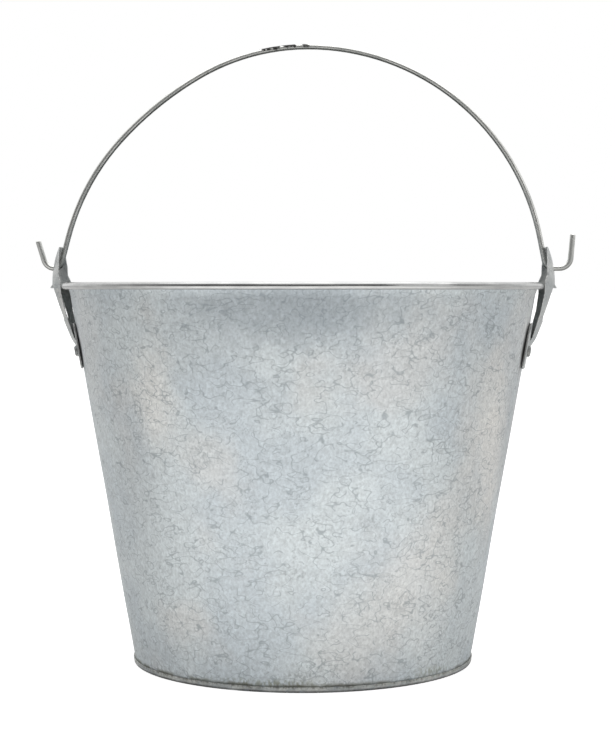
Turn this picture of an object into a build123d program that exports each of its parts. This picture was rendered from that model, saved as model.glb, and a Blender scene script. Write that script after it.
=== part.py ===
"""A galvanised feed bucket: tapered sheet-steel pail with riveted ears and a swinging wire bail.

Millimetres. +Z is up, +X runs through the right ear, and the origin is the centre of the
ring that the bucket stands on.
"""

from build123d import *
from math import asin, atan, cos, degrees, hypot, radians, sin, tan
import os

# Body: one sheet rolled into a cone, closed by a lock seam and curled over a rim wire
rim_radius = 150.0  # outside of the rolled rim
rim_wire_diameter = 3.0
rim_wire_gap = 0.05
rim_height = 232.7  # height of the rim wire
sheet = 0.7
base_radius = 104.0  # outside of the wall, at the floor
neck_height = 228.0
neck_radius = 144.65
curl_turn = 290.0  # degrees that the curl runs round the rim wire
seam_width = 7.0
seam_outside = 0.35
seam_inside = 1.5
seam_floor_gap = 0.5

# Bottom disc, crimped round the lower edge of the wall
bottom_sheet = 0.8
bottom_height = 5.0  # top of the raised floor
crimp_height = 3.5
crimp_gap = 0.15
crimp_bend = 0.3
floor_bend = 2.0
edge_round = 0.2

# Ears: a foot that follows the wall, and a hood pressed out over the rim
ear_sheet = 1.2
ear_gap = 0.45  # stand-off of the foot from the wall, clear of the seam
foot_bottom = 181.8
foot_top = 209.8
foot_width = 62.0
foot_corner = 5.0
foot_margin = 5.0  # the foot's cone runs this far past its trimmed edges
hood_axis = 122.5  # distance out to the upright axis that the hood is turned about
hood_top = (152.8, 257.2)
hood_brow = (156.5, 243.7)
hood_rim = (157.0, 233.0)
hood_cheek = (152.6, 218.6)
hood_chin = (145.2, 199.5)
hood_toe = (140.0, 191.5)
hood_reach = 60.0  # beyond everything the hood is cut with
hood_edge = (
    (151.9, 259.0),
    (150.7, 245.0),
    (150.6, 239.5),
    (149.1, 235.8),
    (148.8, 228.0),
    (146.9, 217.0),
    (139.0, 191.0),
)
slot_half_width = 9.0
slot_bottom = 211.0
slot_top = 231.4
tongue_half_width = 10.0
tongue_bottom = 197.0
lip_depth = 2.4
lip_drop = 0.3
lip_reach = 1.2
lip_half_width = 6.0

# Rivets, two to an ear
rivet_offset = 19.0  # along the wall, either side of the ear's middle
rivet_height = 192.8
rivet_shank = 3.2
rivet_head = 7.0
rivet_head_height = 1.9
rivet_head_round = 1.5
rivet_tail = 5.6
rivet_tail_height = 1.1
rivet_tail_chamfer = 0.4
rivet_clearance = 0.05
rivet_hole = rivet_shank / 2 + rivet_clearance

# Bail: one round wire, bent by hand, so its two sides differ a little
wire = 3.6
pivot_height = 243.7
bail_hole = 4.8
leg_top = 262.7
leg_bend = 4.2
hook_bend = 7.0
wire_end_chamfer = 0.3
right_leg_top = 148.0
right_leg_lean = 11.0  # degrees off upright, leaning inwards
right_hook_corner = 166.6
right_hook_lean = 5.0
right_hook_tip = 265.0
left_leg_top = 147.6
left_leg_lean = 14.4
left_hook_corner = 161.2
left_hook_lean = 17.0
left_hook_tip = 261.0
crown_x = 3.0
crown_height = 382.4
left_shoulder = (-64.6, 0, 364.3)
left_elbow = (-114.8, 0, 323.7)

taper = atan((neck_radius - base_radius) / neck_height)


def beside_wall(distance: float, height: float) -> tuple[float, float]:
    """Point of the section at a height, a distance outside the wall's outer face."""
    return (base_radius + height * tan(taper) + distance / cos(taper), height)


rivet_angle = asin(rivet_offset / beside_wall(0, rivet_height)[0])


def rivet_plane(side: int) -> Plane:
    """Plane on the wall, square to a rivet of the +X ear; side is -1 for the front one."""
    radius, height = beside_wall(0, rivet_height)
    turn = side * rivet_angle
    outward = Vector(cos(turn) * cos(taper), sin(turn) * cos(taper), -sin(taper))
    foot_point = Vector(radius * cos(turn), radius * sin(turn), height)
    return Plane(origin=foot_point, z_dir=outward)


# ---- body shell -----------------------------------------------------------------------

wire_radius = rim_wire_diameter / 2
curl_radius = wire_radius + sheet
rim_centre = (rim_radius - curl_radius, rim_height)
to_wire = (rim_centre[0] - neck_radius, rim_height - neck_height)
flare_angle = degrees(atan(to_wire[1] / to_wire[0]) + asin(wire_radius / hypot(*to_wire)))
curl_start = flare_angle + 90
wall_bottom = bottom_sheet + crimp_gap
seam_bottom = bottom_height + seam_floor_gap

with BuildPart() as body_shell:
    with BuildSketch(Plane.XZ):
        with BuildLine():
            outer_curl = CenterArc(rim_centre, curl_radius, curl_start, -curl_turn)
            inner_curl = CenterArc(rim_centre, wire_radius, curl_start, -curl_turn)
            Line(outer_curl @ 1, inner_curl @ 1)
            Polyline(
                inner_curl @ 0,
                (neck_radius, neck_height),
                beside_wall(0, wall_bottom),
                beside_wall(-sheet, wall_bottom),
                (neck_radius - sheet / cos(taper), neck_height),
                outer_curl @ 0,
            )
        make_face()
    revolve(axis=Axis.Z)
    with BuildSketch(Plane.XZ):
        with BuildLine():
            Polyline(
                beside_wall(seam_outside, seam_bottom),
                beside_wall(seam_outside, neck_height),
                beside_wall(-seam_inside, neck_height),
                beside_wall(-seam_inside, seam_bottom),
                close=True,
            )
        make_face()
    extrude(amount=seam_width / 2, both=True)
    for side in (-1, 1):
        with BuildSketch(rivet_plane(side)):
            Circle(rivet_hole)
        holes = extrude(amount=2 * sheet, both=True, mode=Mode.SUBTRACT)
        mirror(holes, about=Plane.YZ, mode=Mode.SUBTRACT)

# ---- rim wire -------------------------------------------------------------------------

with BuildPart() as rim_wire:
    with BuildSketch(Plane.XZ):
        with Locations(rim_centre):
            Circle(wire_radius - rim_wire_gap)
    revolve(axis=Axis.Z)

# ---- bottom disc ----------------------------------------------------------------------

inner_leg = -(sheet + crimp_gap)
floor_underside = bottom_height - bottom_sheet

with BuildPart() as bottom_disc:
    with BuildSketch(Plane.XZ):
        with BuildLine():
            section = FilletPolyline(
                (0, bottom_height),
                beside_wall(inner_leg, bottom_height),
                beside_wall(inner_leg, bottom_sheet),
                beside_wall(crimp_gap, bottom_sheet),
                beside_wall(crimp_gap, crimp_height),
                beside_wall(crimp_gap + bottom_sheet, crimp_height),
                beside_wall(crimp_gap + bottom_sheet, 0),
                beside_wall(inner_leg - bottom_sheet, 0),
                beside_wall(inner_leg - bottom_sheet, floor_underside),
                (0, floor_underside),
                radius=(
                    floor_bend,
                    crimp_bend,
                    crimp_bend,
                    edge_round,
                    edge_round,
                    crimp_bend + bottom_sheet,
                    crimp_bend + bottom_sheet,
                    floor_bend - bottom_sheet,
                ),
            )
            Line(section @ 1, section @ 0)
        make_face()
    revolve(axis=Axis.Z)

# ---- ears -----------------------------------------------------------------------------


def hood_line(shift: float) -> Curve:
    """The hood's upright profile from top to toe, moved inwards by a shift."""
    top, brow, rim, cheek, chin, toe = [
        (x - shift, z) for x, z in (hood_top, hood_brow, hood_rim, hood_cheek, hood_chin, hood_toe)
    ]
    with BuildLine() as profile:
        ThreePointArc(top, brow, rim)
        ThreePointArc(rim, cheek, chin)
        Line(chin, toe)
    return profile.line


hood_turning_axis = Axis((hood_axis, 0, 0), (0, 0, 1))

with BuildPart() as hood:
    with BuildSketch(Plane.XZ):
        with BuildLine():
            add(hood_line(0))
            add(hood_line(ear_sheet))
            Line(hood_top, (hood_top[0] - ear_sheet, hood_top[1]))
            Line(hood_toe, (hood_toe[0] - ear_sheet, hood_toe[1]))
        make_face()
    revolve(axis=hood_turning_axis)
    with BuildSketch(Plane.XZ):
        with BuildLine():
            far = hood_axis + hood_reach
            Polyline(*hood_edge, (far, hood_edge[-1][1]), (far, hood_edge[0][1]), close=True)
        make_face()
    extrude(amount=foot_width, both=True, mode=Mode.INTERSECT)
    with BuildSketch(Plane.YZ.offset(hood_axis)):
        with Locations((0, (slot_bottom + slot_top) / 2)):
            Rectangle(2 * slot_half_width, slot_top - slot_bottom)
        fillet(vertices().group_by(Axis.Y)[0], radius=slot_half_width / 2)
    extrude(amount=hood_reach, mode=Mode.SUBTRACT)

with BuildPart() as right_ear:
    with BuildSketch(Plane.XZ):
        with BuildLine():
            Polyline(
                beside_wall(ear_gap, foot_bottom - foot_margin),
                beside_wall(ear_gap + ear_sheet, foot_bottom - foot_margin),
                beside_wall(ear_gap + ear_sheet, foot_top + foot_margin),
                beside_wall(ear_gap, foot_top + foot_margin),
                close=True,
            )
        make_face()
    revolve(axis=Axis.Z)
    with BuildSketch(Plane.YZ):
        with Locations((0, (foot_top + foot_bottom) / 2)):
            RectangleRounded(foot_width, foot_top - foot_bottom, foot_corner)
        with Locations((0, (foot_top + tongue_bottom) / 2 + foot_corner)):
            Rectangle(2 * tongue_half_width, foot_top - tongue_bottom + 2 * foot_corner, mode=Mode.SUBTRACT)
    extrude(amount=rim_radius, mode=Mode.INTERSECT)
    add(hood.part)
    with BuildSketch(Plane.XZ):
        with BuildLine():
            Polyline(
                (hood_rim[0] - ear_sheet, slot_top + lip_depth),
                (hood_rim[0] - ear_sheet / 2, slot_top + lip_depth),
                (hood_rim[0] + lip_reach, slot_top - lip_drop),
                (hood_rim[0] + lip_reach - ear_sheet, slot_top - lip_drop),
                close=True,
            )
        make_face()
    extrude(amount=lip_half_width, both=True)
    with BuildSketch(Plane.YZ.offset(hood_axis)):
        with Locations((0, pivot_height)):
            Circle(bail_hole / 2)
    extrude(amount=hood_reach, mode=Mode.SUBTRACT)
    for side in (-1, 1):
        with BuildSketch(rivet_plane(side)):
            Circle(rivet_hole)
        extrude(amount=rivet_head, both=True, mode=Mode.SUBTRACT)

with BuildPart() as left_ear:
    add(mirror(right_ear.part, about=Plane.YZ, mode=Mode.PRIVATE))

# ---- rivets ---------------------------------------------------------------------------

plate_face = ear_gap + ear_sheet
tail_face = -sheet - rivet_clearance
tail_end = tail_face - rivet_tail_height


def make_rivet(side: int) -> BuildPart:
    """One rivet of the +X ear, from tail to domed head; side is -1 for the front one."""
    seat = rivet_plane(side)
    with BuildPart() as rivet:
        with BuildSketch(seat.offset(tail_end)):
            Circle(rivet_tail / 2)
        extrude(amount=rivet_tail_height)
        with BuildSketch(seat.offset(tail_face)):
            Circle(rivet_shank / 2)
        extrude(amount=plate_face - tail_face)
        with BuildSketch(seat.offset(plate_face)):
            Circle(rivet_head / 2)
        extrude(amount=rivet_head_height)
        along = Axis(seat.origin, seat.z_dir)
        fillet(rivet.edges().sort_by(along)[-1], radius=rivet_head_round)
        chamfer(rivet.edges().sort_by(along)[0], length=rivet_tail_chamfer)
    return rivet


right_front_rivet = make_rivet(-1)
right_back_rivet = make_rivet(1)

with BuildPart() as left_front_rivet:
    add(mirror(right_front_rivet.part, about=Plane.YZ, mode=Mode.PRIVATE))

with BuildPart() as left_back_rivet:
    add(mirror(right_back_rivet.part, about=Plane.YZ, mode=Mode.PRIVATE))

# ---- bail -----------------------------------------------------------------------------

leg_rise = leg_top - pivot_height
right_leg_corner = right_leg_top + leg_rise * tan(radians(right_leg_lean))
left_leg_corner = left_leg_top + leg_rise * tan(radians(left_leg_lean))
right_tip_x = right_hook_corner + (right_hook_tip - pivot_height) * tan(radians(right_hook_lean))
left_tip_x = left_hook_corner + (left_hook_tip - pivot_height) * tan(radians(left_hook_lean))

with BuildPart() as bail:
    with BuildLine() as bail_line:
        right_end = FilletPolyline(
            (right_tip_x, 0, right_hook_tip),
            (right_hook_corner, 0, pivot_height),
            (right_leg_corner, 0, pivot_height),
            (right_leg_top, 0, leg_top),
            radius=(hook_bend, leg_bend),
        )
        right_arc = TangentArc(right_end @ 1, (crown_x, 0, crown_height), tangent=right_end % 1)
        crown_arc = TangentArc(right_arc @ 1, left_shoulder, tangent=right_arc % 1)
        flat_arc = TangentArc(crown_arc @ 1, left_elbow, tangent=crown_arc % 1)
        left_arc = TangentArc(flat_arc @ 1, (-left_leg_top, 0, leg_top), tangent=flat_arc % 1)
        FilletPolyline(
            (-left_leg_top, 0, leg_top),
            (-left_leg_corner, 0, pivot_height),
            (-left_hook_corner, 0, pivot_height),
            (-left_tip_x, 0, left_hook_tip),
            radius=(leg_bend, hook_bend),
        )
    with BuildSketch(Plane(origin=right_end @ 0, z_dir=right_end % 0)):
        Circle(wire / 2)
    sweep(path=bail_line.wires()[0])
    chamfer(edges().filter_by(GeomType.CIRCLE).sort_by(Axis.X)[0], length=wire_end_chamfer)
    chamfer(edges().filter_by(GeomType.CIRCLE).sort_by(Axis.X)[-1], length=wire_end_chamfer)

nodes = {
    "body_shell": body_shell,
    "rim_wire": rim_wire,
    "bottom_disc": bottom_disc,
    "right_ear": right_ear,
    "left_ear": left_ear,
    "right_front_rivet": right_front_rivet,
    "right_back_rivet": right_back_rivet,
    "left_front_rivet": left_front_rivet,
    "left_back_rivet": left_back_rivet,
    "bail": bail,
}

os.makedirs("parts", exist_ok=True)
for name, node in nodes.items():
    node.part.label = name
    export_step(node.part, f"parts/{name}.step")
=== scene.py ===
"""The looks of a galvanised feed bucket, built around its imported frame.

Metres, in the frame's own axes: +Z is up, +X runs through the right ear, and the origin is the
middle of the ring that the bucket stands on. The front of the bucket faces -Y.
"""
import logging
import math
from dataclasses import dataclass, field
from enum import Enum
from typing import Callable

import bmesh
import bpy
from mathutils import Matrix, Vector, noise


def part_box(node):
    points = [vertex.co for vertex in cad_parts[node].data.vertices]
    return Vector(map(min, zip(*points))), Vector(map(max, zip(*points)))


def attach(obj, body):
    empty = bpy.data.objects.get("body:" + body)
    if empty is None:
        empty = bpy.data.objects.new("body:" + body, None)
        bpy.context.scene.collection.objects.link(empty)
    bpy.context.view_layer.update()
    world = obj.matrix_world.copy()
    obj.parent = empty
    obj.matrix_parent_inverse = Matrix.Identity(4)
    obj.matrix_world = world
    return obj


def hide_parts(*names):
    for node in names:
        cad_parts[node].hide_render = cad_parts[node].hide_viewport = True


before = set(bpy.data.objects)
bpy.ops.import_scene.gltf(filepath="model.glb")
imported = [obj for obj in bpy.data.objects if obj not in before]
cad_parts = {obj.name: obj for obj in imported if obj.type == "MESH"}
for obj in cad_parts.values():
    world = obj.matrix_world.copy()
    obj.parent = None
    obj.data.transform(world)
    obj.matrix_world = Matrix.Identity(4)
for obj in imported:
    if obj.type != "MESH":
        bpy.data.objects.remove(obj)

Colour = tuple[float, float, float]
Section = list[tuple[float, float]]

MM = 0.001
log = logging.getLogger("feed_bucket")


# ---- shader expressions ---------------------------------------------------------------


class Wire:
    """One output of a shader node, used as a number in an expression."""

    def __init__(self, graph: "Graph", socket: bpy.types.NodeSocket) -> None:
        """Wrap a socket.

        Args:
            graph: The graph that the socket belongs to.
            socket: The output socket.
        """
        self.graph = graph
        self.socket = socket

    def _math(self, operation: str, *operands: "Wire | float") -> "Wire":
        """Add one Math node.

        Args:
            operation: The Math node's operation.
            *operands: Its inputs, in order.

        Returns:
            The node's value.
        """
        return self.graph.node("ShaderNodeMath", {"operation": operation}, dict(enumerate(operands)))

    def __add__(self, other: "Wire | float") -> "Wire":
        """Return self + other."""
        return self._math("ADD", self, other)

    def __radd__(self, other: float) -> "Wire":
        """Return other + self."""
        return self._math("ADD", other, self)

    def __sub__(self, other: "Wire | float") -> "Wire":
        """Return self - other."""
        return self._math("SUBTRACT", self, other)

    def __rsub__(self, other: float) -> "Wire":
        """Return other - self."""
        return self._math("SUBTRACT", other, self)

    def __mul__(self, other: "Wire | float") -> "Wire":
        """Return self * other."""
        return self._math("MULTIPLY", self, other)

    def __rmul__(self, other: float) -> "Wire":
        """Return other * self."""
        return self._math("MULTIPLY", other, self)

    def __abs__(self) -> "Wire":
        """Return the absolute value."""
        return self._math("ABSOLUTE", self)

    def most(self, other: "Wire | float") -> "Wire":
        """Return the larger of self and other."""
        return self._math("MAXIMUM", self, other)

    def rise(self, low: float, high: float) -> "Wire":
        """Turn this number into a soft step.

        Args:
            low: Where the step is still 0.
            high: Where it reaches 1; below low, the step falls instead.

        Returns:
            0 to 1, eased at both ends.
        """
        ends = {"Value": self, "From Min": low, "From Max": high, "To Min": 0.0, "To Max": 1.0}
        if low > high:
            ends.update({"From Min": high, "From Max": low, "To Min": 1.0, "To Max": 0.0})
        return self.graph.node("ShaderNodeMapRange", {"interpolation_type": "SMOOTHSTEP"}, ends)


class Graph:
    """The node tree of a material or of the world, with one method that adds any node."""

    def __init__(self, owner: bpy.types.Material | bpy.types.World, place: str = "Object") -> None:
        """Empty the owner's tree.

        Args:
            owner: The material or world.
            place: The texture coordinate that places are read from.
        """
        self.owner = owner
        owner.use_nodes = True
        self.tree = owner.node_tree
        self.tree.nodes.clear()
        self.place = self.node("ShaderNodeTexCoord", output=place)

    def add(self, kind: str, settings: dict | None = None, inputs: dict | None = None) -> bpy.types.Node:
        """Add a node, set it and link it.

        Args:
            kind: The node's type.
            settings: Its properties, set before its sockets.
            inputs: Values or wires, by socket name or number.

        Returns:
            The node.
        """
        made = self.tree.nodes.new(kind)
        for name, value in (settings or {}).items():
            setattr(made, name, value)
        for key, value in (inputs or {}).items():
            if isinstance(value, Wire):
                self.tree.links.new(value.socket, made.inputs[key])
            else:
                made.inputs[key].default_value = value
        return made

    def node(
        self,
        kind: str,
        settings: dict | None = None,
        inputs: dict | None = None,
        output: int | str = 0,
    ) -> Wire:
        """Add a node as add() does, and return one of its outputs.

        Args:
            kind: The node's type.
            settings: Its properties.
            inputs: Values or wires for its sockets.
            output: The output wanted, by name or number.

        Returns:
            That output.
        """
        return Wire(self, self.add(kind, settings, inputs).outputs[output])

    def axis(self, letter: str) -> Wire:
        """Return one coordinate of the place on the object, in metres."""
        return self.node("ShaderNodeSeparateXYZ", inputs={"Vector": self.place}, output=letter)

    def vector(self, operation: str, *operands: "Wire | Colour") -> Wire:
        """Add one Vector Math node that gives a vector.

        Args:
            operation: The node's operation.
            *operands: Its inputs, in order.

        Returns:
            The vector.
        """
        return self.node("ShaderNodeVectorMath", {"operation": operation}, dict(enumerate(operands)))

    def number(self, operation: str, *operands: "Wire | Colour") -> Wire:
        """Add one Vector Math node that gives a number.

        Args:
            operation: The node's operation.
            *operands: Its inputs, in order.

        Returns:
            The number.
        """
        settings = {"operation": operation}
        return self.node("ShaderNodeVectorMath", settings, dict(enumerate(operands)), output="Value")

    def facing(self) -> Wire:
        """Return the way that the surface faces, in the object's own axes."""
        return self.node("ShaderNodeTexCoord", output="Normal")

    def distance_out(self) -> Wire:
        """Return the distance from the Z axis, in metres."""
        return self.number("LENGTH", self.vector("MULTIPLY", self.place, (1.0, 1.0, 0.0)))

    def distance_from(self, centre: Colour, reach: Colour) -> Wire:
        """Return the distance from a centre, where 1 is the reach along each axis."""
        offset = self.vector("SUBTRACT", self.place, centre)
        return self.number("LENGTH", self.vector("DIVIDE", offset, reach))

    def stretched(self, by: Colour, shift: float = 0.0) -> Wire:
        """Stretch the place on the object.

        Args:
            by: The factor along each axis.
            shift: A shift that gives a texture another draw.

        Returns:
            The stretched place.
        """
        return self.node(
            "ShaderNodeMapping", inputs={"Vector": self.place, "Scale": by, "Location": (shift,) * 3}
        )

    def cloud(self, size: float, detail: float = 2.0, at: Wire | None = None, shift: float = 0.0) -> Wire:
        """Soft noise.

        Args:
            size: The size of its features, in metres.
            detail: How many finer layers it has.
            at: The place it is read at, if not the object's own.
            shift: A shift that gives another draw.

        Returns:
            0 to 1, mostly near a half.
        """
        place = at or self.stretched((1.0, 1.0, 1.0), shift)
        return self.node(
            "ShaderNodeTexNoise", inputs={"Vector": place, "Scale": 1 / size, "Detail": detail}
        )

    def cells(self, size: float, at: Wire | None = None) -> Wire:
        """Crystal grains.

        Args:
            size: The size of a grain, in metres.
            at: The place it is read at, if not the object's own.

        Returns:
            One even tone for each grain, 0 to 1.
        """
        tone = self.node(
            "ShaderNodeTexVoronoi", inputs={"Vector": at or self.place, "Scale": 1 / size}, output="Color"
        )
        return self.node("ShaderNodeSeparateColor", inputs={"Color": tone})

    def hairs(self, size: float, width: float, at: Wire, share: float) -> Wire:
        """Fine curved scratches: level lines of a soft noise, broken into lengths.

        Args:
            size: The size of the noise, in metres.
            width: The half width of a line, as a share of the noise.
            at: The place the noise is read at.
            share: How much of the lines is kept, 0 to 1.

        Returns:
            1 on a scratch and 0 elsewhere.
        """
        line = abs(self.cloud(size, 1.0, at) - 0.5).rise(width, 0.0)
        kept = self.cloud(size * 0.8, 0.0, shift=size * 31).rise(0.62 - 0.3 * share, 0.68 - 0.3 * share)
        return line * kept

    def mix(self, factor: Wire | float, low: Wire | Colour, high: Wire | Colour) -> Wire:
        """Blend two colours.

        Args:
            factor: 0 for the low one and 1 for the high one.
            low: A colour.
            high: A colour.

        Returns:
            The blend.
        """
        ends = [c if isinstance(c, Wire) else (*c, 1.0) for c in (low, high)]
        return self.node(
            "ShaderNodeMix", {"data_type": "RGBA"}, {0: factor, 6: ends[0], 7: ends[1]}, output=2
        )

    def shade(self, colour: Wire, factor: Wire) -> Wire:
        """Return the colour made lighter or darker by a factor."""
        return self.node(
            "ShaderNodeVectorMath", {"operation": "SCALE"}, {0: colour, "Scale": factor}
        )

    def finish(self, looks: dict, height: Wire, relief: float) -> bpy.types.Material:
        """Close the graph with a Principled surface.

        Args:
            looks: The surface's sockets.
            height: The relief, 0 to 1.
            relief: How high 1 stands, in metres.

        Returns:
            The material.
        """
        bump = self.node("ShaderNodeBump", inputs={"Strength": 1.0, "Distance": relief, "Height": height})
        surface = self.node("ShaderNodeBsdfPrincipled", inputs={**looks, "Normal": bump})
        self.add("ShaderNodeOutputMaterial", inputs={"Surface": surface})
        return self.owner


# ---- finishes -------------------------------------------------------------------------


class Wear(Enum):
    """How strongly a sheet's edges are rubbed light and its creases darkened."""

    NONE = 0.0
    LIGHT = 0.35
    HARD = 0.75


@dataclass(frozen=True)
class Patch:
    """A soft-edged area of a sheet with a tone of its own.

    The centre is in metres, reach is how far it spreads along each axis, and the tone's
    strength is from 0 to 1. A torn patch is broken into fine flecks.
    """

    centre: Colour
    reach: Colour
    tone: Colour
    strength: float
    torn: bool = False


@dataclass(frozen=True)
class Bead:
    """The rim's bead, rubbed bright: the radius and height of its ring, and its own radius."""

    ring: float
    level: float
    size: float
    dull: Colour = (0.46, 0.46, 0.455)
    bright: Colour = (0.58, 0.58, 0.57)
    metallic: float = 0.98


@dataclass(frozen=True)
class EarShade:
    """Painted shade and painted shadow on an ear: shade on the hood's wall side, black shadow at its fold
    and the foot's two ends.

    Inward is 1 if the wall lies towards -X. The heights and distances are in metres, each from
    where its soft step starts to where it ends.
    """

    inward: float
    rim: tuple[float, float] = (0.2345, 0.2290)
    foot_end: tuple[float, float] = (0.0292, 0.0304)
    foot_top: tuple[float, float] = (0.2105, 0.2075)
    fold_height: tuple[float, float] = (0.2035, 0.2070)
    fold_side: tuple[float, float] = (0.1414, 0.1398)
    painted_shade: Colour = (0.05, 0.055, 0.05)
    painted_shadow: Colour = (0.03, 0.03, 0.03)


@dataclass(frozen=True)
class ZincSheet:
    """Hot-dip galvanised sheet: fine mottled spangle, cloudy tones, hairlines, grime and painted shade."""

    name: str
    cool: Colour = (0.53, 0.575, 0.60)
    pale: Colour = (0.60, 0.64, 0.65)
    warm: Colour = (0.635, 0.625, 0.605)
    speck: Colour = (0.25, 0.28, 0.30)
    grime_and_shade: Colour = (0.13, 0.13, 0.105)
    rubbed_and_sheen: Colour = (0.80, 0.80, 0.78)
    cloud_size: float = 0.055
    warm_share: float = 0.55
    grain: float = 0.0014
    fleck: float = 0.0017
    mottle: float = 0.36
    speck_strength: float = 0.5
    scratch_strength: float = 0.62
    grime_and_shade_strength: float = 0.78
    metallic: float = 0.72
    roughness: float = 0.44
    relief: float = 0.05 * MM
    wear: Wear = Wear.NONE
    patches: tuple[Patch, ...] = ()
    grime_and_shade_band: tuple[float, float] | None = None
    bead: Bead | None = None
    ear_shade: EarShade | None = None

    def spot(self, graph: Graph, patch: Patch) -> Wire:
        """Draw the mask of one patch, ragged at its edge and only on the outside of the sheet.

        Args:
            graph: The material's graph.
            patch: The patch.

        Returns:
            Its strength at each place, 0 elsewhere.
        """
        far = graph.distance_from(patch.centre, patch.reach)
        ragged = far + (graph.cloud(0.012, 3.0, shift=patch.centre[0]) - 0.5) * 0.8
        outward = graph.number("DOT_PRODUCT", graph.facing(), graph.place).rise(-0.03, 0.01)
        area = ragged.rise(1.25, 0.15) * outward * patch.strength
        flecks = graph.cloud(self.fleck, 3.0, graph.stretched((1.0, 1.0, 0.55), patch.centre[2]))
        return area * flecks.rise(0.44, 0.62) if patch.torn else area

    def spotted(self, graph: Graph, colour: Wire, torn: bool) -> Wire:
        """Lay the soft or the torn patches over a colour.

        Args:
            graph: The material's graph.
            colour: The colour beneath.
            torn: Which patches are laid.

        Returns:
            The colour with them.
        """
        for patch in self.patches:
            if patch.torn == torn:
                colour = graph.mix(self.spot(graph, patch), colour, patch.tone)
        return colour

    def clouded(self, graph: Graph) -> Wire:
        """Draw the broad tones of the zinc, from cool to pale with warm clouds.

        Args:
            graph: The material's graph.

        Returns:
            The colour.
        """
        broad = graph.cloud(self.cloud_size, 2.0).rise(0.38, 0.64)
        creamy = graph.cloud(self.cloud_size * 1.3, 3.0, shift=0.7).rise(0.52, 0.70)
        return graph.mix(creamy * self.warm_share, graph.mix(broad, self.cool, self.pale), self.warm)

    def paint_ear_shade(self, graph: Graph, colour: Wire, fine: Wire) -> Wire:
        """Paint shade on an ear's wall side, and black shadow at its fold and at the foot's two ends.

        Args:
            graph: The material's graph.
            colour: The colour beneath.
            fine: The fine grain, which breaks the dark up.

        Returns:
            The colour with them.
        """
        ear_shade = self.ear_shade
        normal = graph.node("ShaderNodeNewGeometry", output="Normal")
        # Painted shade on the hood's wall side, stronger below the rim.
        inward = graph.number("DOT_PRODUCT", normal, (-ear_shade.inward, 0, 0)).rise(-0.35, 0.25)
        low = graph.axis("Z").rise(*ear_shade.rim) * 0.42 + 0.36
        colour = graph.mix(inward * low * (0.7 + fine * 0.5), colour, ear_shade.painted_shade)
        # Painted black shadow at the foot's two ends and at the fold above the foot.
        ends = abs(graph.axis("Y")).rise(*ear_shade.foot_end) * graph.axis("Z").rise(*ear_shade.foot_top)
        fold = graph.axis("Z").rise(*ear_shade.fold_height) * abs(graph.axis("X")).rise(*ear_shade.fold_side)
        return graph.mix(ends.most(fold) * 0.85, colour, ear_shade.painted_shadow)

    def material(self) -> bpy.types.Material:
        """Build the finish.

        Returns:
            The material.
        """
        graph = Graph(bpy.data.materials.new(self.name))
        fine = graph.cloud(self.grain, 3.0, graph.stretched((1.0, 1.0, 0.8), 0.2))
        spangle = graph.cells(self.grain * 1.6)
        colour = self.spotted(graph, self.clouded(graph), torn=False)
        mottled = (fine - 0.5) * 2.0 * self.mottle + (spangle - 0.5) * self.mottle * 0.45
        colour = graph.shade(colour, mottled + 1.0)

        cluster = graph.cloud(self.cloud_size * 0.32, 2.0, shift=1.9).rise(0.47, 0.66)
        specks = graph.cloud(self.grain * 0.9, 2.0, shift=3.1).rise(0.56, 0.68) * (cluster * 0.8 + 0.2)
        colour = graph.mix(specks * self.speck_strength, colour, self.speck)
        hair = graph.hairs(0.021, 0.011, graph.stretched((1.0, 1.0, 2.6)), 0.75)
        nick = graph.hairs(0.009, 0.028, graph.stretched((1.0, 1.0, 1.5), 0.4), 0.70)
        colour = graph.mix(hair.most(nick) * self.scratch_strength, colour, self.speck)
        colour = self.spotted(graph, colour, torn=True)

        rough = fine * 0.16 + spangle * 0.06 + (self.roughness - 0.11)
        # A broken dark band low on the sheet: caked grime and painted shade.
        if self.grime_and_shade_band:
            low, high = self.grime_and_shade_band
            ragged = graph.axis("Z") + (graph.cloud(0.007, 4.0, shift=5.0) - 0.5) * (high - low) * 1.6
            caked_and_shaded = ragged.rise(high, low) * graph.cloud(0.019, 3.0, shift=6.0).rise(0.36, 0.58)
            colour = graph.mix(caked_and_shaded * self.grime_and_shade_strength, colour, self.grime_and_shade)
            rough = rough + caked_and_shaded * 0.25
        metal, smooth = self.metallic, 1.0
        if self.bead:
            out = graph.distance_out() - self.bead.ring
            up = graph.axis("Z") - self.bead.level
            reach = out * out + up * up
            size = self.bead.size
            # Painted shade just under the rim's bead.
            painted_bead_shade = reach.rise((size * 1.3) ** 2, size**2) * up.rise(0.0, -0.5 * size)
            colour = graph.mix(painted_bead_shade * 0.7, colour, self.grime_and_shade)
            over = reach.rise(size**2, (size * 0.96) ** 2)
            scuffed = graph.cloud(0.004, 3.0, graph.stretched((0.35, 0.35, 2.0))).rise(0.3, 0.7)
            colour = graph.mix(over * 0.9, colour, graph.mix(scuffed, self.bead.dull, self.bead.bright))
            rough = (1.0 - over) * rough + over * (scuffed * 0.08 + 0.15)
            metal = over * (self.bead.metallic - self.metallic) + self.metallic
            smooth = 1.0 - over * 0.85
        # Painted shade and shadow on an ear.
        if self.ear_shade:
            colour = self.paint_ear_shade(graph, colour, fine)
        if self.wear is not Wear.NONE:
            edge = graph.node("ShaderNodeNewGeometry", output="Pointiness")
            worn = (edge + (fine - 0.5) * 0.04).rise(0.515, 0.56) * self.wear.value
            colour = graph.mix(worn, colour, self.rubbed_and_sheen)
            hidden = edge.rise(0.49, 0.44) * self.wear.value
            colour = graph.mix(hidden, colour, self.grime_and_shade)
        height = (fine * 0.5 + spangle * 0.3 - hair * 0.5 - specks * 0.2) * smooth
        looks = {"Base Color": colour, "Metallic": metal, "Roughness": rough}
        return graph.finish(looks, height, self.relief)


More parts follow.
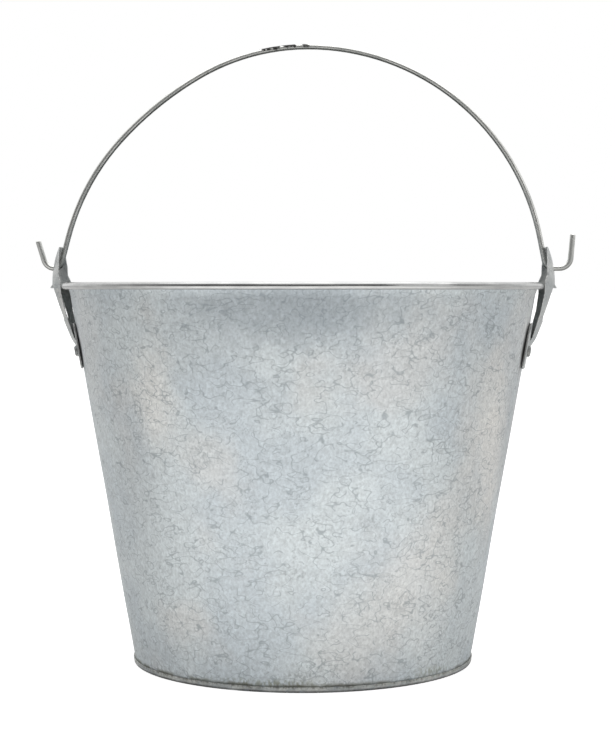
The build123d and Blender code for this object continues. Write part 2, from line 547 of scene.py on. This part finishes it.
@dataclass(frozen=True)
class ZincWire:
    """Galvanised drawn wire: painted highlight on its upward faces, painted shade on its downward ones,
    with dark scuffs.
    """

    name: str
    bright: Colour = (0.86, 0.86, 0.83)
    dull: Colour = (0.62, 0.63, 0.61)
    scuff: Colour = (0.05, 0.05, 0.048)
    rubbed_and_sheen: Colour = (0.90, 0.90, 0.87)
    painted_underside_shade: Colour = (0.13, 0.13, 0.12)
    metallic: float = 0.85
    roughness: float = 0.24
    relief: float = 0.04 * MM
    scuffs: tuple[Patch, ...] = ()

    def material(self) -> bpy.types.Material:
        """Build the finish.

        Returns:
            The material.
        """
        graph = Graph(bpy.data.materials.new(self.name))
        dull = graph.cloud(0.020, 3.0).rise(0.42, 0.66)
        grain = graph.cloud(0.003, 3.0, graph.stretched((1.0, 1.0, 1.0), 2.0))
        colour = graph.shade(graph.mix(dull, self.bright, self.dull), (grain - 0.5) * 0.12 + 1.0)
        lift = graph.node("ShaderNodeSeparateXYZ", inputs={"Vector": graph.facing()}, output="Z")
        # Painted highlight on the faces that look up, and painted shade on those that look down.
        colour = graph.mix(lift.rise(0.15, 0.75), colour, self.rubbed_and_sheen)
        colour = graph.mix(lift.rise(0.10, -0.55) * 0.8, colour, self.painted_underside_shade)
        marks: Wire | float = 0.0
        for patch in self.scuffs:
            torn = graph.cloud(0.0035, 3.0, shift=patch.centre[0])
            far = graph.distance_from(patch.centre, patch.reach) + (torn - 0.5) * 2.4
            marks = (far.rise(0.95, 0.65) * patch.strength).most(marks)
        colour = graph.mix(marks, colour, self.scuff)
        rough = dull * 0.14 + marks * 0.25 + (grain - 0.5) * 0.10 + self.roughness
        looks = {"Base Color": colour, "Metallic": self.metallic, "Roughness": rough}
        return graph.finish(looks, grain * 0.2 - marks * 0.4, self.relief)


# ---- mesh work ------------------------------------------------------------------------


def new_piece(name: str, mesh: bpy.types.Mesh, sharp: float = 35.0) -> bpy.types.Object:
    """Put a mesh in the scene, smooth but for its sharp edges.

    Args:
        name: The piece's name.
        mesh: Its mesh.
        sharp: The angle in degrees from which an edge is sharp.

    Returns:
        The object.
    """
    mesh.shade_smooth()
    mesh.set_sharp_from_angle(angle=math.radians(sharp))
    piece = bpy.data.objects.new(name, mesh)
    bpy.context.scene.collection.objects.link(piece)
    return piece


def lathe(
    name: str,
    section: Section,
    turns: list[float],
    reshape: Callable[[int, float, float, float], tuple[float, float]],
    closed: bool = True,
) -> bpy.types.Mesh:
    """Turn a section about the Z axis.

    Args:
        name: The mesh's name.
        section: The section's (radius, height) points, anticlockwise.
        turns: The angles of the section's copies, in radians.
        reshape: Gives a point its (radius, height) from its number, angle, radius and height.
        closed: True if the section is a ring, and False if both its ends lie on the axis.

    Returns:
        The mesh.
    """
    verts = []
    for turn in turns:
        for number, (radius, height) in enumerate(section):
            r, z = reshape(number, turn, radius, height)
            verts.append((r * math.cos(turn), r * math.sin(turn), z))
    count = len(section)
    faces = []
    for i in range(len(turns)):
        here, there = i * count, (i + 1) % len(turns) * count
        for j in range(count if closed else count - 1):
            k = (j + 1) % count
            faces.append((here + j, there + j, there + k, here + k))
    if not closed:
        for end in (0, count - 1):
            verts.append((0.0, 0.0, section[end][1]))
            middle = len(verts) - 1
            for i in range(len(turns)):
                here, there = i * count + end, (i + 1) % len(turns) * count + end
                faces.append((middle, here, there) if end else (middle, there, here))
    mesh = bpy.data.meshes.new(name)
    mesh.from_pydata(verts, [], faces)
    bm = bmesh.new()
    bm.from_mesh(mesh)
    bmesh.ops.recalc_face_normals(bm, faces=bm.faces)
    bm.to_mesh(mesh)
    bm.free()
    return mesh


def run(start: tuple[float, float], end: tuple[float, float], steps: int) -> Section:
    """Return points from start up to but not including end, evenly spaced."""
    return [
        (start[0] + (end[0] - start[0]) * i / steps, start[1] + (end[1] - start[1]) * i / steps)
        for i in range(steps)
    ]


def arc(centre: tuple[float, float], radius: float, start: float, end: float, steps: int) -> Section:
    """Return the points of an arc, both ends included; its angles are in degrees."""
    turns = [math.radians(start + (end - start) * i / steps) for i in range(steps + 1)]
    return [(centre[0] + radius * math.cos(t), centre[1] + radius * math.sin(t)) for t in turns]


def bend(before: Vector, corner: Vector, after: Vector, steps: int) -> Section:
    """Draw a soft bend.

    Args:
        before: Its first point.
        corner: The corner that it is drawn towards.
        after: Its last point.
        steps: The number of steps between its points.

    Returns:
        Its points, both ends included.
    """
    points = []
    for i in range(steps + 1):
        t = i / steps
        p = before * (1 - t) ** 2 + corner * 2 * t * (1 - t) + after * t * t
        points.append((p.x, p.y))
    return points


def ease(value: float, low: float, high: float) -> float:
    """Return a soft step of value from 0 at low to 1 at high."""
    t = min(1.0, max(0.0, (value - low) / (high - low)))
    return t * t * (3 - 2 * t)


def pressed(name: str, node: str, voxel: float, rounds: int) -> bpy.types.Object:
    """Make a fine skin of a CAD node with softly rounded edges and bends.

    Args:
        name: The piece's name.
        node: The CAD node that it stands for.
        voxel: The size of its faces, in metres.
        rounds: How often its points are eased towards their neighbours.

    Returns:
        The piece.
    """
    blank = bpy.data.objects.new(name + "_blank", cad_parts[node].data.copy())
    bpy.context.scene.collection.objects.link(blank)
    remesh = blank.modifiers.new("skin", "REMESH")
    remesh.mode = "VOXEL"
    remesh.voxel_size = voxel
    smooth = blank.modifiers.new("ease", "SMOOTH")
    smooth.factor = 0.5
    smooth.iterations = rounds
    bpy.context.view_layer.update()
    shaped = blank.evaluated_get(bpy.context.evaluated_depsgraph_get())
    mesh = bpy.data.meshes.new_from_object(shaped)
    mesh.name = name
    mesh.materials.clear()
    bpy.data.objects.remove(blank)
    return new_piece(name, mesh, sharp=70.0)


def dressed(piece: bpy.types.Object, material: bpy.types.Material, body: str) -> None:
    """Give a piece its material and the body that it moves with.

    Args:
        piece: The piece.
        material: Its material.
        body: The CAD body.
    """
    piece.data.materials.clear()
    piece.data.materials.append(material)
    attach(piece, body)
    log.info("%s: %d faces, rides on %s", piece.name, len(piece.data.polygons), body)


# ---- the bucket -----------------------------------------------------------------------


@dataclass(frozen=True)
class Dent:
    """A shallow knock in the wall: where it is, how wide and how deep (inwards)."""

    turn: float
    height: float
    width: float
    depth: float


@dataclass
class Body:
    """One sheet rolled into a cone, lock-seamed at +X and curled outwards over the rim wire."""

    sheet: float = 0.7 * MM
    base_radius: float = 104.0 * MM
    neck: Vector = field(default_factory=lambda: Vector((144.65 * MM, 228.0 * MM)))
    neck_bend: float = 2.2 * MM
    curl: float = 2.2 * MM
    curl_start: float = 161.5
    curl_turn: float = 290.0
    seam_half: float = 3.5 * MM
    seam_outside: float = 0.35 * MM
    seam_inside: float = 1.5 * MM
    seam_step: float = 0.35 * MM
    seam_foot: tuple[float, float] = (5.2 * MM, 6.2 * MM)
    seam_head: tuple[float, float] = (3.0 * MM, 0.5 * MM)
    groove_depth: float = 0.22 * MM
    groove_width: float = 0.4 * MM
    lap_depth: float = 0.18 * MM
    lap_width: float = 0.5 * MM
    rim_drift: float = 0.10 * MM
    sway: float = 0.35 * MM
    sway_size: float = 0.075
    stiff_foot: tuple[float, float] = (0.012, 0.045)
    stiff_head: tuple[float, float] = (0.196, 0.226)
    round_steps: int = 380
    outside_steps: int = 76
    inside_steps: int = 48
    dents: tuple[Dent, ...] = (
        Dent(math.radians(-118), 0.118, 0.020, 0.45 * MM),
        Dent(math.radians(-62), 0.062, 0.016, 0.35 * MM),
        Dent(math.radians(-35), 0.150, 0.024, 0.5 * MM),
        Dent(math.radians(55), 0.090, 0.022, 0.6 * MM),
        Dent(math.radians(118), 0.165, 0.018, 0.45 * MM),
        Dent(math.radians(200), 0.052, 0.018, 0.4 * MM),
    )

    def __post_init__(self) -> None:
        """Work out the rim's centre and the wall's lower edge from the frame."""
        low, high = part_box("body_shell")
        self.rim = (high.x - self.curl, high.z - self.curl)
        self.bottom = low.z
        self.slope = (self.neck.x - self.base_radius) / self.neck.y

    def outer(self, height: float) -> float:
        """Return the outer face's radius at a height."""
        return self.base_radius + self.slope * height

    def section(self) -> tuple[Section, int, int]:
        """Draw the sheet's section.

        Returns:
            Its points, and the numbers of its first and last point on the curl.
        """
        across = self.sheet * math.hypot(1.0, self.slope)
        upright = Vector((self.slope, 1.0)).normalized()
        wire = self.curl - self.sheet
        start = self.curl_start
        end = start - self.curl_turn
        inner_arc = arc(self.rim, wire, start, end, 22)
        outer_arc = arc(self.rim, self.curl, end, start, 30)
        first_bend = bend(
            self.neck - upright * self.neck_bend,
            self.neck,
            self.neck + (Vector(inner_arc[0]) - self.neck).normalized() * self.neck_bend,
            6,
        )
        inside_neck = self.neck - Vector((across, 0.0))
        last_bend = bend(
            inside_neck + (Vector(outer_arc[-1]) - inside_neck).normalized() * self.neck_bend,
            inside_neck,
            inside_neck - upright * self.neck_bend,
            6,
        )
        edge = (self.outer(self.bottom) - across, self.bottom)
        outside = run((self.outer(self.bottom), self.bottom), first_bend[0], self.outside_steps)
        inside = run(last_bend[-1], edge, self.inside_steps)
        head = outside + first_bend + inner_arc
        points = head + outer_arc + last_bend[:-1] + inside + [edge]
        return points, len(outside) + len(first_bend), len(head) + len(outer_arc) - 1

    def turns(self) -> list[float]:
        """Choose the section's angles, close together where the seam steps up and down.

        Returns:
            The angles in order, in radians.
        """
        plain = [math.tau * i / self.round_steps for i in range(self.round_steps)]
        edge = self.seam_half / self.outer(0.12)
        step = self.seam_step / self.outer(0.12)
        fine = [side * (edge + step * (i / 3 - 1)) for side in (-1, 1) for i in range(-1, 6)]
        return sorted({round(t % math.tau, 6) for t in plain + fine})

    def push(self, turn: float, height: float) -> float:
        """Work out how far the sheet stands off its true cone: slack in the metal and dents.

        Args:
            turn: The angle about the Z axis, in radians.
            height: The height above the ground.

        Returns:
            The distance outwards.
        """
        spot = Vector((math.cos(turn), math.sin(turn), height / 0.13)) * 0.13
        free = ease(height, *self.stiff_foot) * (1 - ease(height, *self.stiff_head))
        out = noise.noise(spot / self.sway_size + Vector((3.1, 1.7, 0.4))) * self.sway
        out += noise.noise(spot / (self.sway_size * 0.4)) * self.sway * 0.25
        for dent in self.dents:
            off_turn = (turn - dent.turn + math.pi) % math.tau - math.pi
            away = math.hypot(off_turn * self.outer(height), height - dent.height)
            out -= dent.depth * math.exp(-((away / dent.width) ** 2) * 2)
        return out * free

    def build(self) -> bpy.types.Object:
        """Build the body.

        Returns:
            The piece.
        """
        points, curl_first, curl_last = self.section()
        top = self.neck.y

        def reshape(number: int, turn: float, radius: float, height: float) -> tuple[float, float]:
            """Move one point of the sheet: slack, dents, the seam's fold and an uneven rim.

            Args:
                number: The point's place in the section.
                turn: Its angle.
                radius: Its radius.
                height: Its height.

            Returns:
                Its new radius and height.
            """
            side = (turn + math.pi) % math.tau - math.pi
            along = abs(side) * radius
            in_seam = 1 - ease(along, self.seam_half - self.seam_step, self.seam_half)
            if curl_first <= number <= curl_last:
                way = Vector((math.cos(turn), math.sin(turn), 0.3))
                drift = noise.noise(way * 2.6) * self.rim_drift
                lap = self.lap_depth * math.exp(-((side * radius / self.lap_width) ** 2))
                grow = 1 - lap / self.curl
                return (
                    self.rim[0] + (radius - self.rim[0]) * grow,
                    self.rim[1] + (height - self.rim[1]) * grow + drift,
                )
            head = 1 - ease(height, top - self.seam_head[0], top - self.seam_head[1])
            fold = in_seam * ease(height, *self.seam_foot) * head
            lean = self.seam_outside if number < curl_first else -self.seam_inside
            off_groove = (along - self.seam_half * 0.55) / self.groove_width
            groove = self.groove_depth * math.exp(-(off_groove**2))
            ripple = groove if number < curl_first else 0.0
            return radius + self.push(turn, height) + fold * (lean - ripple), height

        mesh = lathe("body", points, self.turns(), reshape)
        piece = new_piece("body_wall", mesh, sharp=50.0)
        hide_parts("body_shell")
        return piece

    def spot(self, degrees: float, height: float) -> Colour:
        """Find a point on the outside of the wall.

        Args:
            degrees: Its angle from the front, towards the right.
            height: Its height.

        Returns:
            The point.
        """
        turn = math.radians(degrees - 90)
        radius = self.outer(height)
        return (radius * math.cos(turn), radius * math.sin(turn), height)

    def finish(self) -> ZincSheet:
        """Choose the sheet's finish, with the tones that handling and weather have left, caked grime and
        painted shade just above the base, painted shade under the bead and painted shadow beside the ears'
        feet.

        Returns:
            The finish.
        """
        slate = (0.29, 0.325, 0.355)
        cream = (0.80, 0.775, 0.735)
        steel = (0.47, 0.49, 0.50)
        dark = (0.25, 0.27, 0.28)
        olive = (0.24, 0.25, 0.19)
        painted_shadow = (0.03, 0.03, 0.03)
        return ZincSheet(
            "galvanised_body",
            grime_and_shade=(0.22, 0.22, 0.18),
            # Caked grime and painted shade just above the base's crimp.
            grime_and_shade_band=(0.0036, 0.0058),
            bead=Bead(*self.rim, self.curl * 1.12),
            patches=(
                Patch(self.spot(2, 0.222), (0.085, 0.05, 0.026), slate, 0.66),
                Patch(self.spot(-22, 0.205), (0.040, 0.05, 0.030), slate, 0.22),
                Patch(self.spot(-38, 0.170), (0.018, 0.03, 0.038), cream, 0.55),
                Patch(self.spot(-66, 0.200), (0.020, 0.04, 0.060), cream, 0.30),
                Patch(self.spot(62, 0.140), (0.020, 0.04, 0.060), cream, 0.70),
                Patch(self.spot(40, 0.060), (0.030, 0.04, 0.050), cream, 0.35),
                Patch(self.spot(80, 0.135), (0.010, 0.05, 0.060), steel, 0.55),
                Patch(self.spot(-50, 0.120), (0.020, 0.03, 0.060), steel, 0.28),
                Patch(self.spot(0, 0.070), (0.009, 0.02, 0.005), dark, 0.62, torn=True),
                Patch(self.spot(0, 0.009), (0.010, 0.02, 0.005), dark, 0.62, torn=True),
                Patch(self.spot(20, 0.099), (0.010, 0.02, 0.006), dark, 0.50, torn=True),
                Patch(self.spot(-24, 0.140), (0.014, 0.02, 0.010), dark, 0.40, torn=True),
                Patch(self.spot(30, 0.050), (0.012, 0.02, 0.008), dark, 0.40, torn=True),
                Patch(self.spot(-8, 0.0050), (0.040, 0.03, 0.0030), olive, 0.75, torn=True),
                Patch(self.spot(48, 0.0065), (0.014, 0.03, 0.004), olive, 0.60, torn=True),
                # Painted shadow on the wall beside each end of the two ear feet.
                *(
                    Patch((x * 0.1345, y * 0.0325, 0.196), (0.0200, 0.0064, 0.0175), painted_shadow, 0.95)
                    for x in (-1, 1)
                    for y in (-1, 1)
                ),
            ),
        )

    def dress(self, piece: bpy.types.Object) -> None:
        """Give the body its finish, and its rim wire a plain drawn one.

        Args:
            piece: The body's piece.
        """
        dressed(piece, self.finish().material(), "bucket")
        rim_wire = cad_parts["rim_wire"]
        rim_wire.data.materials.clear()
        rim_wire.data.materials.append(ZincWire("rim_wire_finish", roughness=0.42).material())


@dataclass
class Base:
    """The bottom disc, set up inside the wall and crimped over its lower edge."""

    wall: Body
    sheet: float = 0.8 * MM
    floor: float = 5.0 * MM
    crimp: float = 3.5 * MM
    gap: float = 0.15 * MM
    floor_round: float = 2.0 * MM
    heel_round: float = 1.1 * MM
    elbow_round: float = 1.2 * MM
    rolled: float = 0.12 * MM
    sag: float = 0.35 * MM
    round_steps: int = 400

    def section(self) -> Section:
        """Draw the disc's section from the middle of its floor to the middle of its underside.

        Returns:
            Its points.
        """
        wall, sheet = self.wall, self.sheet
        lean = math.hypot(1.0, wall.slope)

        def beside(distance: float, height: float) -> tuple[float, float]:
            """Return a point beside the wall's outer face."""
            return (wall.outer(height) + distance * lean, height)

        inner = -(wall.sheet + self.gap)
        outer = self.gap + sheet
        under = self.floor - sheet
        first = beside(inner, self.floor - self.floor_round)
        centre = (first[0] - self.floor_round, first[1])
        points = run((0.0, self.floor), (centre[0], self.floor), 40)
        points += arc(centre, self.floor_round, 90, 8, 8)
        points += [beside(inner, sheet + 0.3 * MM), beside(inner + 0.15 * MM, sheet)]
        points += [beside(self.gap - 0.15 * MM, sheet), beside(self.gap, sheet + 0.3 * MM)]
        points += run(beside(self.gap, sheet + 0.6 * MM), beside(self.gap, self.crimp - 0.2 * MM), 3)
        top = (beside(self.gap + sheet / 2, self.crimp - sheet / 2)[0], self.crimp - sheet / 2)
        points += arc(top, sheet / 2, 170, 5, 9)
        heel, elbow = self.heel_round, self.elbow_round
        points += run(beside(outer, self.crimp - sheet), beside(outer, 1.4 * MM), 4)
        points += arc((beside(outer - heel, heel)[0], heel), heel, 5, -90, 10)
        points += arc((beside(inner - sheet + heel, heel)[0], heel), heel, -95, -172, 8)
        corner = (beside(inner - sheet - elbow, 0)[0] + wall.slope * under, under - elbow)
        points += arc(corner, elbow, 8, 90, 6)
        points += [(corner[0] * (1 - i / 30), under) for i in range(1, 31)]
        return points

    def build(self) -> bpy.types.Object:
        """Build the disc.

        Returns:
            The piece.
        """
        points = self.section()
        edge = self.wall.outer(0)

        def reshape(_: int, turn: float, radius: float, height: float) -> tuple[float, float]:
            """Roll the crimp unevenly, and let the floor sag a little.

            Args:
                _: The point's place in the section, which doesn't matter here.
                turn: Its angle.
                radius: Its radius.
                height: Its height.

            Returns:
                Its new radius and height.
            """
            ring = Vector((math.cos(turn), math.sin(turn), 0.0))
            if radius > edge - 0.5 * MM:
                bite = noise.noise(ring * 24) * self.rolled + noise.noise(ring * 60) * self.rolled * 0.5
                lip = ease(height, self.crimp - 1.2 * MM, self.crimp)
                return radius + bite * 0.4 * ease(height, 0.5 * MM, 2 * MM), height + bite * lip * 1.6
            if height > self.floor / 2:
                slack = noise.noise(ring * radius * 22 + Vector((0, 0, 4))) * self.sag
                return radius, height + slack * (1 - ease(radius, edge * 0.75, edge * 0.95))
            return radius, height

        turns = [math.tau * i / self.round_steps for i in range(self.round_steps)]
        piece = new_piece("base_disc", lathe("base", points, turns, reshape, closed=False), sharp=60.0)
        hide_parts("bottom_disc")
        return piece

    def dress(self, piece: bpy.types.Object) -> None:
        """Give the disc a duller zinc, darker over its inside floor and round the crimp's top, with caked
        grime and painted shade where the crimp meets the wall and painted black shadow along its lower
        edge.

        Args:
            piece: The disc's piece.
        """
        finish = ZincSheet(
            "galvanised_base",
            cool=(0.38, 0.40, 0.40),
            pale=(0.54, 0.55, 0.53),
            warm=(0.54, 0.52, 0.48),
            roughness=0.36,
            cloud_size=0.03,
            wear=Wear.LIGHT,
            patches=(
                # Darker round the crimp's top and over the inside floor: caked grime, and painted shade
                # where the crimp meets the wall.
                Patch((0.0, 0.0, 0.0044), (1.0, 1.0, 0.0020), (0.20, 0.20, 0.16), 0.45),
                Patch((0.0, 0.0, 0.0038), (1.0, 1.0, 0.0018), (0.10, 0.10, 0.08), 0.80, torn=True),
                # Painted black shadow along the disc's lower edge.
                Patch((0.0, 0.0, -0.0002), (1.0, 1.0, 0.0019), (0.010, 0.010, 0.010), 1.0),
            ),
        )
        dressed(piece, finish.material(), "bucket")


# ---- ears and rivets ------------------------------------------------------------------


@dataclass
class Ear:
    """A pressed steel ear: a foot riveted to the wall and a hood that stands over the rim."""

    side: str
    voxel: float = 0.42 * MM
    rounds: int = 7
    waver: float = 0.10 * MM
    rivet_voxel: float = 0.22 * MM
    rivet_rounds: int = 4
    head_flats: float = 0.16 * MM
    rivet_names: tuple[str, str] = ("front", "back")

    def build(self) -> tuple[bpy.types.Object, list[bpy.types.Object]]:
        """Build the ear and its two rivets.

        Returns:
            The ear's plate and its rivets.
        """
        node = f"{self.side}_ear"
        plate = pressed(f"{node}_plate", node, self.voxel, self.rounds)
        for vertex in plate.data.vertices:
            swing = noise.noise(vertex.co / 0.016 + Vector((self.side == "left", 2.0, 0.0)))
            vertex.co.x += swing * self.waver
        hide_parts(node)
        rivets = [self.rivet(name) for name in self.rivet_names]
        return plate, rivets

    def rivet(self, place: str) -> bpy.types.Object:
        """Build one rivet with a hammered head.

        Args:
            place: front or back.

        Returns:
            The piece.
        """
        node = f"{self.side}_{place}_rivet"
        piece = pressed(f"{node}_set", node, self.rivet_voxel, self.rivet_rounds)
        low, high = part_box(node)
        middle = (low + high) / 2
        for vertex in piece.data.vertices:
            away = vertex.co - middle
            blow = noise.noise(vertex.co / 0.0022 + middle * 90)
            vertex.co -= away.normalized() * max(0.0, blow) * self.head_flats
        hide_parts(node)
        return piece

    def dress(self, plate: bpy.types.Object, rivets: list[bpy.types.Object]) -> None:
        """Finish the plate in dull zinc worn at its edges, with painted shade on its wall side and painted
        shadow at its fold and foot ends, and the rivets darker.

        Args:
            plate: The ear's plate.
            rivets: Its two rivets.
        """
        finish = ZincSheet(
            f"{self.side}_ear_zinc",
            cool=(0.47, 0.49, 0.49),
            pale=(0.62, 0.63, 0.62),
            warm=(0.60, 0.59, 0.56),
            cloud_size=0.014,
            grain=0.0013,
            mottle=0.22,
            roughness=0.42,
            metallic=0.78,
            wear=Wear.LIGHT,
            # Painted shade and shadow on the ear's wall side, fold and foot ends.
            ear_shade=EarShade(inward=1.0 if self.side == "right" else -1.0),
        )
        dressed(plate, finish.material(), "bucket")
        head = ZincSheet(
            f"{self.side}_rivet_zinc",
            cool=(0.21, 0.22, 0.22),
            pale=(0.32, 0.32, 0.31),
            warm=(0.27, 0.25, 0.23),
            cloud_size=0.004,
            grain=0.0009,
            mottle=0.3,
            roughness=0.45,
            wear=Wear.HARD,
        )
        material = head.material()
        for rivet in rivets:
            dressed(rivet, material, "bucket")


# ---- bail -----------------------------------------------------------------------------


@dataclass
class Bail:
    """The wire handle."""

    name: str = "bail"
    voxel: float = 0.45 * MM
    rounds: int = 9
    scuff_depth: float = 1.2 * MM

    def build(self) -> bpy.types.Object:
        """Build the wire.

        Returns:
            The piece.
        """
        wire = pressed("bail_rod", self.name, self.voxel, self.rounds)
        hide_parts(self.name)
        return wire

    def dress(self, wire: bpy.types.Object) -> None:
        """Give the wire its finish, with the marks of years of hanging at the crown.

        Args:
            wire: The bail's piece.
        """
        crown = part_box(self.name)[1].z - self.scuff_depth
        black = (0.0, 0.0, 0.0)
        scuffs = (
            Patch((-0.022, 0.0, crown - 1.3 * MM), (0.008, 0.003, 0.0022), black, 1.0),
            Patch((-0.008, 0.0, crown), (0.010, 0.003, 0.0017), black, 1.0),
            Patch((0.001, 0.0, crown), (0.003, 0.003, 0.0015), black, 0.9),
        )
        dressed(wire, ZincWire("bail_zinc", scuffs=scuffs).material(), "bail")


# ---- studio ---------------------------------------------------------------------------


@dataclass(frozen=True)
class Softbox:
    """A square lamp: where it hangs, how wide it is, its power and what it is aimed at."""

    name: str
    place: Colour
    size: float
    power: float
    aim: Colour

    def hang(self) -> None:
        """Put the lamp in the scene."""
        lamp = bpy.data.lights.new(self.name, "AREA")
        lamp.shape = "SQUARE"
        lamp.size = self.size
        lamp.energy = self.power
        box = bpy.data.objects.new(self.name, lamp)
        bpy.context.scene.collection.objects.link(box)
        box.location = self.place
        way = Vector(self.aim) - Vector(self.place)
        box.rotation_euler = way.to_track_quat("-Z", "Y").to_euler()


@dataclass
class Studio:
    """A pale floor, soft light all round that fades towards the camera, and the camera."""

    distance: float = 1.189
    eye: float = 0.2327
    round_to_right: float = 1.7
    aim_right: float = 0.139
    drop: float = 0.1112
    lens: float = 93.0
    floor_span: float = 60.0
    paper_glow: float = 0.75
    paper_bounce: float = 1.28
    boxes: tuple[Softbox, ...] = (
        Softbox("top_box", (0.1, -0.1, 1.9), 2.6, 17.0, (0.0, 0.0, 0.1)),
        Softbox("right_box", (1.6, -1.0, 0.8), 1.0, 3.0, (0.0, 0.0, 0.15)),
    )
    backdrop: float = 0.92
    backdrop_least: float = 0.05
    ceiling: float = 0.55

    def floor(self) -> None:
        """Lay the floor."""
        mesh = bpy.data.meshes.new("floor")
        span = self.floor_span
        corners = [(-span, -span, 0), (span, -span, 0), (span, span, 0), (-span, span, 0)]
        mesh.from_pydata(corners, [], [(0, 1, 2, 3)])
        floor = bpy.data.objects.new("floor", mesh)
        bpy.context.scene.collection.objects.link(floor)
        graph = Graph(bpy.data.materials.new("floor_paper"))
        ahead = graph.axis("Y")
        near = ahead.rise(-0.85, -0.40) * ahead.rise(0.06, -0.36) * abs(graph.axis("X")).rise(0.8, 0.2)
        seen = graph.node("ShaderNodeLightPath", output="Is Camera Ray")
        glow = graph.mix(seen.most(near * self.paper_bounce), (0.0, 0.0, 0.0), (1.0, 1.0, 1.0))
        looks = {
            "Base Color": graph.mix(graph.cloud(0.4, 2.0), (0.66, 0.66, 0.66), (0.69, 0.69, 0.685)),
            "Roughness": 0.8,
            "Emission Color": glow,
            "Emission Strength": self.paper_glow,
        }
        floor.data.materials.append(graph.finish(looks, graph.cloud(0.002), 0.02 * MM))

    def lights(self) -> None:
        """Hang the softboxes and set the world."""
        for box in self.boxes:
            box.hang()
        world = bpy.data.worlds.new("studio")
        bpy.context.scene.world = world
        graph = Graph(world, place="Generated")
        behind = graph.axis("Y").rise(-0.75, 0.9) * self.backdrop + self.backdrop_least
        above = graph.axis("Z").rise(0.30, 0.90) * self.ceiling
        seen = graph.node("ShaderNodeLightPath", output="Is Camera Ray")
        glow = seen.most(behind + above)
        light = graph.node("ShaderNodeBackground", inputs={"Color": (1.0, 1.0, 1.0, 1.0), "Strength": glow})
        graph.add("ShaderNodeOutputWorld", inputs={"Surface": light})
        bpy.context.scene.view_settings.view_transform = "Standard"

    def camera(self) -> None:
        """Stand the camera level with the rim, a little to the right, with its lens dropped."""
        turn = math.radians(self.round_to_right)
        data = bpy.data.cameras.new("camera")
        data.lens = self.lens
        data.sensor_width = 36.0
        data.shift_y = -self.drop
        camera = bpy.data.objects.new("camera", data)
        bpy.context.scene.collection.objects.link(camera)
        camera.location = (self.distance * math.sin(turn), -self.distance * math.cos(turn), self.eye)
        yaw = turn - math.radians(self.aim_right)
        camera.rotation_euler = (math.radians(90), 0.0, yaw)
        bpy.context.scene.camera = camera


def main() -> None:
    """Build every piece in order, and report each."""
    logging.basicConfig(level=logging.INFO, format="%(name)s: %(message)s")
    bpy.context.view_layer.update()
    body = Body()
    body.dress(body.build())
    base = Base(body)
    base.dress(base.build())
    for side in ("right", "left"):
        ear = Ear(side)
        ear.dress(*ear.build())
    bail = Bail()
    bail.dress(bail.build())
    studio = Studio()
    studio.floor()
    studio.lights()
    studio.camera()


if __name__ == "__main__":
    main()
